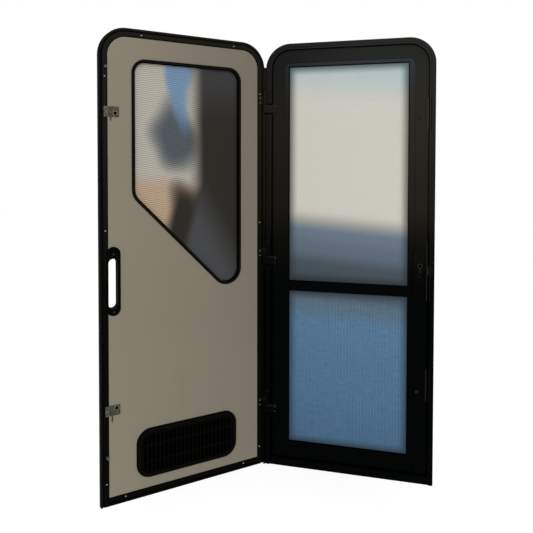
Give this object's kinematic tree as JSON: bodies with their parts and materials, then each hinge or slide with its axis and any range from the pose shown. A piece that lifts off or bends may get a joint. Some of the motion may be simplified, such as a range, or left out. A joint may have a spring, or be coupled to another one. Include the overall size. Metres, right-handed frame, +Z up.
{
  "type": "caravan entry door",
  "caption": "Caravan entry door in a proud frame, with a hinged mesh screen door and a hinged insulated leaf that has a sloping window, a vent grille and a lock slot.",
  "frame": {"origin": "on the wall side of the frame's flange, half-way along the sill and half-way up its face", "axes": "+X along the wall away from the hinge line, +Y into the wall, +Z up"},
  "size_m": [1.1485, 0.5317, 1.704],
  "materials": {
    "black_coat": "satin",
    "black_plastic": "matte",
    "panel_skin": "satin",
    "foam": "matte",
    "tinted_pane": "gloss",
    "mesh": "matte",
    "plate_steel": "satin",
    "grey_rubber": "matte",
    "seal_rubber": "matte"
  },
  "bodies": {
    "frame": {"frame_hinge_jamb": "black_coat", "frame_lock_jamb": "black_coat", "frame_head": "black_coat", "frame_sill": "black_coat", "upper_strike": "plate_steel", "middle_strike": "plate_steel", "lower_strike": "plate_steel", "upper_frame_hinge": "black_coat", "middle_frame_hinge": "black_coat", "lower_frame_hinge": "black_coat"},
    "screen": {"screen_hinge_stile": "black_coat", "screen_lock_stile": "black_coat", "screen_top_rail": "black_coat", "screen_bottom_rail": "black_coat", "screen_mid_rail": "black_coat", "pane_bead": "black_coat", "upper_mesh": "mesh", "lower_mesh": "mesh", "screen_lock_case": "black_plastic", "upper_stud": "black_coat", "lower_stud": "black_coat", "upper_screen_hinge": "black_coat", "middle_screen_hinge": "black_coat", "lower_screen_hinge": "black_coat"},
    "snib": {"snib": "black_plastic"},
    "main": {"leaf_hinge_edge": "black_coat", "leaf_lock_edge": "black_coat", "leaf_top_edge": "black_coat", "leaf_bottom_edge": "black_coat", "door_seal": "seal_rubber", "inner_skin": "panel_skin", "leaf_core": "foam", "outer_skin": "panel_skin", "window_inner_ring": "black_plastic", "window_glass": "tinted_pane", "window_outer_ring": "black_plastic", "vent_inner_grille": "black_plastic", "vent_outer_grille": "black_plastic", "lock_inner_plate": "black_plastic", "lock_outer_plate": "black_plastic", "upper_catch": "plate_steel", "lower_catch": "plate_steel", "upper_bumper": "grey_rubber", "lower_bumper": "grey_rubber", "upper_leaf_hinge": "black_coat", "middle_leaf_hinge": "black_coat", "lower_leaf_hinge": "black_coat"}
  },
  "joints": [
    {"name": "screen_swing", "type": "hinge", "parent": "frame", "child": "screen", "pos_m": [-0.334, -0.0375, 0.839], "axis": [0, 0, -1], "range_deg": [0, 45]},
    {"name": "main_swing", "type": "hinge", "parent": "screen", "child": "main", "pos_m": [-0.334, -0.0375, 0.839], "axis": [0, 0, 1], "range_deg": [0, 135]},
    {"name": "snib_turn", "type": "hinge", "parent": "screen", "child": "snib", "pos_m": [0.2765, -0.026, 0.822], "axis": [0, -1, 0], "range_deg": [0, 90]}
  ]
}
